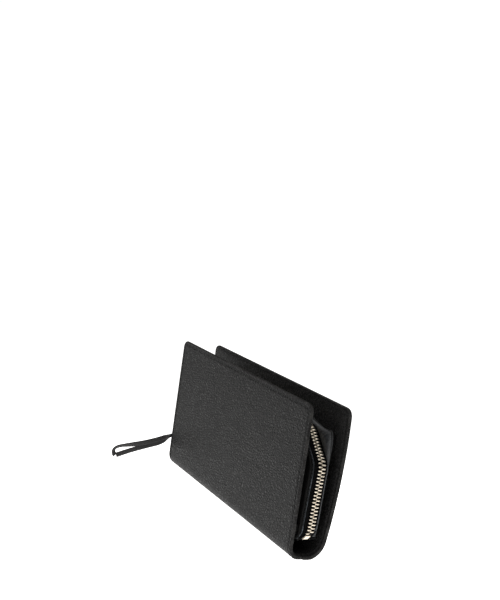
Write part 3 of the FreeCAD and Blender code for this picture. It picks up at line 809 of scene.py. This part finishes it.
def rear_outline(along):
    """The place on the rear wall's outline that faces a place on the zip's line."""
    side = [(0.0, POUCH_FLOOR + 0.6), (38.0, 55.0), (50.0, 66.0)]
    over = [(55.0, 94.0), (58.5, 93.1), (61.5, 92.0), (64.0, 90.5), (67.5, 88.0), (72.5, 83.0)]
    over += [(79.0, 75.0), (86.0, 67.0), (93.0, 60.0), (ZIP_LENGTH / 2, 0.0)]
    stations = [(place, REAR_WALL_HALF, z) for place, z in side]
    stations = np.array(stations + [(place, x, rear_top(x)) for place, x in over])
    mirrored = along > ZIP_LENGTH / 2
    here = ZIP_LENGTH - along if mirrored else along
    x, z = at(here, stations[:, 0], stations[:, 1:])
    return (-x if mirrored else x), z


def gusset_place():
    """The rear gusset: from the tape's edge to the rear wall, full and puckered at the corners."""
    tape = zip_place(0.0, TAPE_THICK / 2 + 0.25)
    samples = np.linspace(0, ZIP_LENGTH, 700)
    rims = np.array([rear_outline(a) for a in samples])
    rims = smoothed(np.pad(rims, ((12, 12), (0, 0)), mode="edge"), 12, 5.0)
    tucked, fullest = 0.35, 1.7

    def surface(v, along):
        start = np.array(tape(GUSSET_REAR_EDGE - tucked, along, 0))
        start[1] += curled(start[2], GUSSET_CURL)
        rim_x, rim_z = at(along, samples, rims)
        end = np.array((rim_x, REAR_WALL_Y - tucked, rim_z))
        wide = np.linalg.norm((end - start)[[0, 2]])
        corner = min(1.0, wide / 11.0)
        bow = math.sin(math.pi * min(max(v, 0), 1)) * fullest * corner
        folds = math.sin(along * 2.1) + 0.6 * math.sin(along * 3.7 + 1.3)
        folds += 0.4 * math.sin(along * 0.9)
        near_tape = (1 - v) * math.sin(math.pi * min(max(v * 0.8 + 0.15, 0), 1))
        pucker = 0.3 * corner * folds * near_tape
        point = start + (end - start) * v
        return point + np.array((0, -1, 0)) * (bow + pucker)

    def place(across, along, depth):
        v = across / 2 + 0.5
        here = surface(v, along)
        dv = surface(v + 0.02, along) - surface(v - 0.02, along)
        ds = surface(v, along + 0.2) - surface(v, along - 0.2)
        normal = np.cross(dv, ds)
        normal /= np.linalg.norm(normal) + 1e-12
        outward = zip_place(0.0, 1.0)(0.0, along, 0)
        centre = zip_place(0.0, 0.0)(0.0, along, 0)
        way = np.array(outward) - np.array(centre) + np.array((0, -0.6, 0))
        if normal @ way < 0:
            normal = -normal
        return tuple(here - normal * depth)

    return place


def front_wall_half(z):
    """The front wall reaches the outside of the gusset, which follows the zip."""
    right = ZIP_ALONG < ZIP_LENGTH / 2
    reach = TAPE_THICK / 2 + GUSSET_THICK
    rim = ZIP_LINE + ZIP_OUT * reach
    return float(np.interp(z, rim[right][:, 1], rim[right][:, 0]))


def rear_height(x, s):
    """A height on the flat rear panel, carried to the wall's own outline."""
    share = (s - POUCH_FLOOR) / (REAR_WALL_TOP - POUCH_FLOOR)
    return s + (rear_top(x) - REAR_WALL_TOP) * share**3


def crown(x, s):
    """A pouch wall's fullness: 1 at its middle and 0 at its edges."""
    half, low, high = 96, 12, 80
    across = math.cos(math.pi * x / 2 / half)
    return across * math.sin(math.pi * min(max((s - low) / (high - low), 0), 1))


def pouch_panel(name, node, place, half, span, thick, material, **more):
    made = slab(name, place, half, span, thick, material, THIN_STEPS, 3.0, **more)
    finish_piece(made, "front_cover", "pouch_leather", node)


def pouch():
    full_front, full_rear, above_floor = 0.7, 0.2, 0.2
    pouch_panel(
        "pouch_front_panel",
        "pouch_front_wall",
        lambda x, s, d: (x, FRONT_WALL_Y + d, s),
        front_wall_half,
        (POUCH_FLOOR + above_floor, ZIP_CORNERS[2][1] + TAPE_THICK / 2 + GUSSET_THICK - 0.05),
        WALL_THICK,
        POCKET_LEATHER,
        shape=lambda x, s: -full_front * crown(x, s) + 0.1 * wavy(x, s, 20, 16, 2),
    )
    pouch_panel(
        "pouch_rear_panel",
        "pouch_rear_wall",
        lambda x, s, d: (x, REAR_WALL_Y - d, rear_height(x, s)),
        lambda s: REAR_WALL_HALF,
        (POUCH_FLOOR + above_floor, REAR_WALL_TOP),
        WALL_THICK,
        POUCH_LEATHER,
        groove=(REAR_SEAM_INSET, 0.8, 0.1),
        shape=lambda x, s: -full_rear * crown(x, s) + 0.1 * wavy(x, s, 22, 15, 6),
    )
    sewn = stitches(
        "pouch_rear_stitching",
        lambda x, s, d: (x, REAR_WALL_Y - d + full_rear * crown(x, s), rear_height(x, s)),
        [loop_inside(REAR_WALL_HALF, POUCH_FLOOR + 2, REAR_WALL_TOP, 1.5, REAR_SEAM_INSET)],
        pitch=2.8,
        long=2.2,
        thick=0.34,
    )
    finish_piece(sewn, "front_cover", "pouch_leather")
    middle_y = (FRONT_WALL_Y + REAR_WALL_Y) / 2
    floor_half = (REAR_WALL_Y - FRONT_WALL_Y) / 2
    floor_end = POUCH_HALF - 0.8
    pouch_panel(
        "pouch_floor",
        "pouch_bottom",
        lambda x, s, d: (s, middle_y + x, POUCH_FLOOR + d + 0.5 * (x / floor_half) ** 4),
        lambda s: floor_half,
        (-floor_end, floor_end),
        WALL_THICK,
        POCKET_LEATHER,
        shape=lambda x, s: 0.12 * wavy(x, s, 9, 18, 4),
    )
    strip_low, strip_high = corners("pouch_mount_strip")
    pouch_panel(
        "pouch_mount_leather",
        "pouch_mount_strip",
        lambda x, s, d: (x, strip_low[1] + d, s),
        lambda s: POUCH_HALF - 0.3,
        (strip_low[2], strip_high[2]),
        strip_high[1] - strip_low[1],
        POCKET_LEATHER,
        round_edge=0.6,
    )

    # the gussets, from just inside one foot of the zip to just inside the other
    seam_in, ends = 1.2, (0.3, ZIP_LENGTH - 0.3)
    front_middle = (FRONT_WALL_Y + 0.2 + GUSSET_FRONT_EDGE) / 2
    front_half = (GUSSET_FRONT_EDGE - FRONT_WALL_Y - 0.2) / 2
    front_place = zip_place(front_middle, TAPE_THICK / 2 + GUSSET_THICK)
    # the front gusset, darkened as painted shade, with its light edge line, part scuffing and part
    # painted highlight, along one side
    fold_front = slab(
        "pouch_gusset_front_fold",
        front_place,
        lambda s: front_half,
        ends,
        GUSSET_THICK,
        GUSSET_LEATHER,
        [0, 0.06, 0.16, 0.32, 0.55, 0.8, 1.1, 1.4],
        1.2,
        round_edge=0.5,
        shape=lambda x, s: 0.1 * wavy(x, s, 4, 7, 1) + 0.35 * (0.5 - x / front_half / 2),
        wear_and_highlight_side=1,
    )
    finish_piece(fold_front, "front_cover", "pouch_leather", "pouch_gusset_front")
    sewn = stitches(
        "pouch_gusset_front_stitching",
        front_place,
        [[(front_half - seam_in, 2.0), (front_half - seam_in, ZIP_LENGTH - 2.0)]],
        pitch=2.5,
        long=2.0,
        thick=0.3,
    )
    finish_piece(sewn, "front_cover", "pouch_leather")
    # the rear gusset, in the lighter leather that paints its highlight
    fold_rear = slab(
        "pouch_gusset_rear_fold",
        gusset_place(),
        lambda s: 1.0,
        ends,
        GUSSET_THICK * 0.75,
        PAINTED_HIGHLIGHT_FLAP_LEATHER,
        [0, 0.03, 0.08, 0.16, 0.28, 0.45],
        0.85,
        round_edge=0.16,
    )
    finish_piece(fold_rear, "front_cover", "pouch_leather", "pouch_gusset_rear")


pouch()


# ---------------------------------------------------------------- zip

def tapes():
    for side, low, high in (
        ("front", corners("zip_tape_front")[0][1], ZIP_Y - 0.75),
        ("rear", ZIP_Y + 0.75, corners("zip_tape_rear")[1][1]),
    ):
        middle, half = (low + high) / 2, (high - low) / 2
        beaded = 1 if side == "front" else -1
        tape = slab(
            f"zip_tape_{side}_weave",
            zip_place(middle, TAPE_THICK / 2),
            lambda s, half=half: half,
            (0.2, ZIP_LENGTH - 0.2),
            TAPE_THICK,
            ZIP_TAPE,
            [0, 0.06, 0.16, 0.32, 0.6],
            1.1,
            shape=lambda x, s, h=half, b=beaded: -0.25 * math.exp(-(((h - b * x) / 0.7) ** 2))
            + 0.06 * wavy(x, s, 3, 5, 7),
        )
        finish_piece(tape, "front_cover", "zip_tape", f"zip_tape_{side}")


def tooth_shape():
    """One tooth about its own middle: (along the zip, towards its outer end, out of the tape).
    A rounded head, a waist, and two legs that clamp the tape."""
    points, faces = boxy(6, 4.5)
    shaped = []
    length = (TOOTH_REACH + TOOTH_MESH) / 2
    for a, b, c in points:
        out = (b + 1) / 2
        width = 0.5 - 0.11 * math.exp(-(((out - 0.36) / 0.1) ** 2)) - 0.06 * max(0, out - 0.8) / 0.2
        tall = 1.25 - 0.12 * abs(b) ** 3 - 0.18 * math.exp(-((out - 0.1) / 0.12) ** 2)
        dimple = 0.12 * math.exp(-(((out - 0.16) / 0.09) ** 2)) * (1 - a * a)
        shaped.append((a * width, b * length, c * tall - (dimple if c > 0 else 0)))
    return np.array(shaped), faces


def cast(node, shape, spots, put):
    """A CAD node remade as copies of one shape: put(spot, point) places a point at a spot."""
    points, shape_faces = shape
    verts, faces, uvs = [], [], []
    for spot in spots:
        first = len(verts)
        verts += [put(spot, point) for point in points]
        uvs += [(point[1], point[0]) for point in points]
        faces += [tuple(first + k for k in face) for face in shape_faces]
    made = new_object(f"{node}_cast", verts, faces, NICKEL_GOLD, uvs)
    return finish_piece(made, "front_cover", "zip_metal", node)


def teeth():
    place = zip_place(ZIP_Y)
    left_start = corners("zip_teeth_front_left_end")[1][2]
    inside_slider = corners("slider_body")[1][2] - 3.0
    centre = (TOOTH_REACH - TOOTH_MESH) / 2
    for side, sign, shift in (("front", -1, 0.0), ("rear", 1, 0.5)):
        groups = {f"zip_teeth_{side}": [], f"zip_teeth_{side}_left_end": []}
        along = STOP_LONG + TOOTH_PITCH * (0.5 + shift)
        while along < ZIP_LENGTH - STOP_LONG - 1:
            x, z = at(along, ZIP_ALONG, ZIP_LINE)
            if x < 0 and z < inside_slider:
                break
            late = x < 0 and z < left_start
            groups[f"zip_teeth_{side}" + ("_left_end" if late else "")].append(along)
            along += TOOTH_PITCH

        def put(spot, point):
            a, b, c = point
            return place(sign * (centre + b), spot + a, -c)

        for node, spots in groups.items():
            made = cast(node, tooth_shape(), spots, put)
            if node.endswith("left_end"):
                anchor = (-ZIP_CORNERS[0][0] * MM, ZIP_Y * MM, corners(node)[1][2] * MM)
                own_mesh(made)


def stops():
    """The crimped box that closes the chain, and the two clamps above the slider's way out."""
    place = zip_place(ZIP_Y)
    clamp_along = ZIP_LENGTH - STOP_LONG / 2 - STOP_GAP
    for node, centres, reach, spot, half_thick, pinched in (
        ("zip_bottom_stop", (0.0,), STOP_REACH, STOP_LONG / 2, 1.3, 0.18),
        ("zip_top_stops", (-2.05, 2.05), 0.42, clamp_along, 1.25, 0.15),
    ):

        def put(centre, point):
            a, b, c = point
            pinch = pinched * (1 - a * a) * abs(c)
            return place(centre + b * reach, spot + a * STOP_LONG / 2, -c * (half_thick - pinch))

        cast(node, boxy(6, 7), centres, put)


def cast_metal(node, bevel):
    """A CAD node kept as it is, with its edges eased and plated."""
    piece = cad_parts[node]
    weld = piece.modifiers.new("weld", "WELD")
    weld.merge_threshold = 1e-6
    eased = piece.modifiers.new("eased", "BEVEL")
    eased.width = bevel * MM
    eased.segments = 3
    eased.limit_method = "ANGLE"
    eased.angle_limit = math.radians(35)
    eased.harden_normals = False
    piece.data.materials.clear()
    piece.data.materials.append(CHROME)
    piece.data.polygons.foreach_set("use_smooth", [True] * len(piece.data.polygons))


tapes()
teeth()
stops()
cast_metal("slider_body", 0.22)
cast_metal("slider_bridge", 0.12)
cast_metal("pull_ring", 0.01)


# ---------------------------------------------------------------- pull strap

STRAP_ROUTES = {
    "upper": [
        (-101.1, -6.8, 23.35), (-101.2, -10.9, 21.1), (-101.5, -19.4, 17.5), (-101.9, -29.1, 14.3),
        (-102.4, -39.1, 12.0), (-102.8, -47.4, 10.7), (-103.0, -51.6, 9.9), (-103.1, -55.2, 8.2),
        (-103.1, -56.1, 4.9), (-103.1, -54.1, 2.4),
    ],
    "lower": [
        (-101.6, -6.8, 21.4), (-102.7, -11.9, 18.9), (-102.9, -17.7, 14.0), (-103.3, -27.3, 11.3),
        (-103.8, -37.7, 7.9), (-104.2, -45.8, 4.9), (-104.4, -52.5, 2.2),
    ],
}
# degrees from standing on edge, at shares of the length
STRAP_TWIST = {
    "upper": [(0, 90), (0.06, 78), (0.18, 12), (0.4, 4), (0.62, 10), (0.78, 42), (0.9, 38)]
    + [(1, 20)],
    "lower": [(0, 90), (0.06, 80), (0.2, 14), (0.5, -4), (0.8, 3), (1, -6)],
}


def spline_points(route):
    """The route's smooth line, as points in millimetres."""
    data = bpy.data.curves.new("route", "CURVE")
    data.dimensions = "3D"
    spline = data.splines.new("NURBS")
    spline.points.add(len(route) - 1)
    for point, place in zip(spline.points, route):
        point.co = (*place, 1)
    spline.order_u = 3
    spline.use_endpoint_u = True
    data.resolution_u = 12
    holder = bpy.data.objects.new("route", data)
    drawn = bpy.data.meshes.new_from_object(holder)
    line = np.array([v.co for v in drawn.vertices])
    bpy.data.objects.remove(holder)
    bpy.data.meshes.remove(drawn)
    bpy.data.curves.remove(data)
    return line


def ribbon(name, line, twists, wide, thick):
    """A leather strip with rounded edges along a line of points. twists are (share of the length,
    degrees from standing on edge), and wide gives the width at a share of the length."""
    along = distances(line)
    total = along[-1]
    even = np.linspace(0, total, max(12, int(total / 0.6)))
    line = np.stack(at(even, along, line), axis=1)
    around = 20
    verts, uvs, edge = [], [], []
    for i, (point, way) in enumerate(zip(line, directions(line))):
        aside = np.cross(way, (1.0, 0, 0))
        aside /= np.linalg.norm(aside)
        if aside[2] < 0 and i == 0:
            aside = -aside
        if i and aside @ previous < 0:
            aside = -aside
        previous = aside
        flat = np.cross(aside, way)
        share = even[i] / total
        turn = math.radians(np.interp(share, [t[0] for t in twists], [t[1] for t in twists]))
        broad = aside * math.cos(turn) + flat * math.sin(turn)
        thin = np.cross(broad, way)
        tight = 0.9 if min(even[i], total - even[i]) < 0.25 else 1.0
        for k in range(around):
            angle = 2 * math.pi * k / around
            across = math.copysign(abs(math.cos(angle)) ** 0.55, math.cos(angle))
            over = math.copysign(abs(math.sin(angle)) ** 0.75, math.sin(angle))
            sideways = broad * across * wide(share) / 2 * tight
            cup = 0.12 * across**2
            verts.append(point + (sideways + thin * (over * thick / 2 * tight + cup)))
            uvs.append((across * wide(share) / 2, even[i]))
            edge.append((1 - abs(across)) * wide(share) / 2)
    faces = tube(0, len(line), around)
    return new_object(name, verts, faces, STRAP_LEATHER, uvs, edge), line


def strap():
    lines = {}
    gather = lambda t: STRAP_WIDE * (1 - 0.2 * math.exp(-((t / 0.07) ** 2)))
    for half, route in STRAP_ROUTES.items():
        piece, lines[half] = ribbon(
            f"pull_strap_{half}_half", spline_points(route), STRAP_TWIST[half], gather, STRAP_THICK
        )
        finish_piece(piece, "pull", "strap_leather", f"pull_strap_{half}")
        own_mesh(piece)
        lines[half + "_piece"] = piece
    wrap = []
    top, bottom = lines["upper"][0], lines["lower"][0]
    radius = (top[2] - bottom[2]) / 2
    centre = (top + bottom) / 2
    for angle in np.radians(np.linspace(90, -90, 17)):
        out = math.cos(angle) * radius + 0.9 * math.cos(angle)
        wrap.append((centre[0], centre[1] + out, centre[2] + math.sin(angle) * radius))
    flat_on = [(0, 90), (1, 90)]
    slim = 0.8
    fold, _ = ribbon(
        "pull_strap_fold", np.array(wrap), flat_on, lambda t: STRAP_WIDE * slim, STRAP_THICK * slim
    )
    finish_piece(fold, "pull", "strap_leather")
    for half, extra in (("upper", [fold]), ("lower", [])):
        line = lines[half]
        length = float(np.sqrt((np.diff(line, axis=0) ** 2).sum(axis=1)).sum())
        [[c * MM for c in p] for p in line]
        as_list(extra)


strap()


# ---------------------------------------------------------------- pockets of the back cover

def pockets():
    """The banknote panel and the card slots, each a leaf with a creased, turned top edge."""
    foot_low, foot_high = corners("banknote_pocket")
    lean = math.radians(1.0)
    hang_y, hang_z = 11.05, foot_low[2]

    def leaf(node, depth, thick, low, high, left, right, seed):
        middle, half = (left + right) / 2, (right - left) / 2

        def place(x, s, d):
            y = -depth - thick + d
            z = s - hang_z
            return (
                middle + x,
                hang_y + y * math.cos(lean) + z * math.sin(lean),
                hang_z - y * math.sin(lean) + z * math.cos(lean),
            )

        def turned_top(x, s):
            bow = 0.07 * wavy(x, s, 25, 12, seed)
            return bow - 0.1 * math.exp(-(((high - s) / 2.2) ** 4))

        made = slab(
            f"{node}_leaf",
            place,
            rounded_half(half, high, 1.6),
            (low, high),
            thick,
            POCKET_LEATHER,
            THIN_STEPS,
            3.0,
            round_edge=0.25,
            groove=(1.2, 0.5, 0.06),
            shape=turned_top,
        )
        finish_piece(made, "back_cover", "pocket_leather", node)
        return place, half

    leaf("banknote_pocket", 0.0, 0.8, foot_low[2], foot_high[2], foot_low[0], foot_high[0], 1)
    for column in ("left", "right"):
        for number in range(1, 5):
            node = f"card_slot_{column}_{number}"
            low, high = corners(node)
            place, half = leaf(
                node, 0.8 + (number - 1) * 0.4, 0.4, low[2], high[2], low[0], high[0], number + 3
            )
            if number < 4:
                below = corners(f"card_slot_{column}_{number + 1}")[1][2] + 0.8
            else:
                below = low[2] + 1.5
            seam = half - 1.4
            lines = [[(side, below), (side, high[2] - 0.8)] for side in (-seam, seam)]
            if number == 4:
                lines.append([(-half + 2, low[2] + 1.3), (half - 2, low[2] + 1.3)])
            sewn = stitches(f"{node}_stitching", place, lines, pitch=2.6, long=2.0, thick=0.3)
            finish_piece(sewn, "back_cover", "pocket_leather")


pockets()


# ---------------------------------------------------------------- studio

def studio():
    data = bpy.data.meshes.new("studio_floor")
    shaped = bmesh.new()
    bmesh.ops.create_grid(shaped, x_segments=8, y_segments=8, size=4)
    shaped.to_mesh(data)
    shaped.free()
    floor = bpy.data.objects.new("studio_floor", data)
    floor.location.z = -0.00005
    data.materials.append(paper_floor())
    bpy.context.scene.collection.objects.link(floor)
    floor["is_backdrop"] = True
    world = bpy.data.worlds.new("studio")
    bpy.context.scene.world = world
    world.use_nodes = True
    nodes, links = world.node_tree.nodes, world.node_tree.links
    # the camera sees a white backdrop, and the wallet is lit by a dimmer one
    seen = nodes["Background"]
    seen.inputs[0].default_value = (1, 1, 1, 1)
    seen.inputs[1].default_value = 1.02
    lighting = nodes.new("ShaderNodeBackground")
    lighting.inputs[0].default_value = (1, 0.99, 0.97, 1)
    lighting.inputs[1].default_value = 0.32
    path, either = nodes.new("ShaderNodeLightPath"), nodes.new("ShaderNodeMixShader")
    links.new(path.outputs["Is Camera Ray"], either.inputs[0])
    links.new(lighting.outputs[0], either.inputs[1])
    links.new(seen.outputs[0], either.inputs[2])
    links.new(either.outputs[0], nodes["World Output"].inputs[0])
    sun = bpy.data.lights.new("overhead_tent", "SUN")
    sun.energy = 1.5
    sun.angle = math.radians(80)
    tent = bpy.data.objects.new("overhead_tent", sun)
    bpy.context.scene.collection.objects.link(tent)
    tent.rotation_euler = (math.radians(6), math.radians(-4), 0)
    bpy.context.scene.view_settings.view_transform = "Standard"


studio()

lists = [[list(map(float, corner)) for corner in pair] for pair in (cad_bounds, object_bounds())]
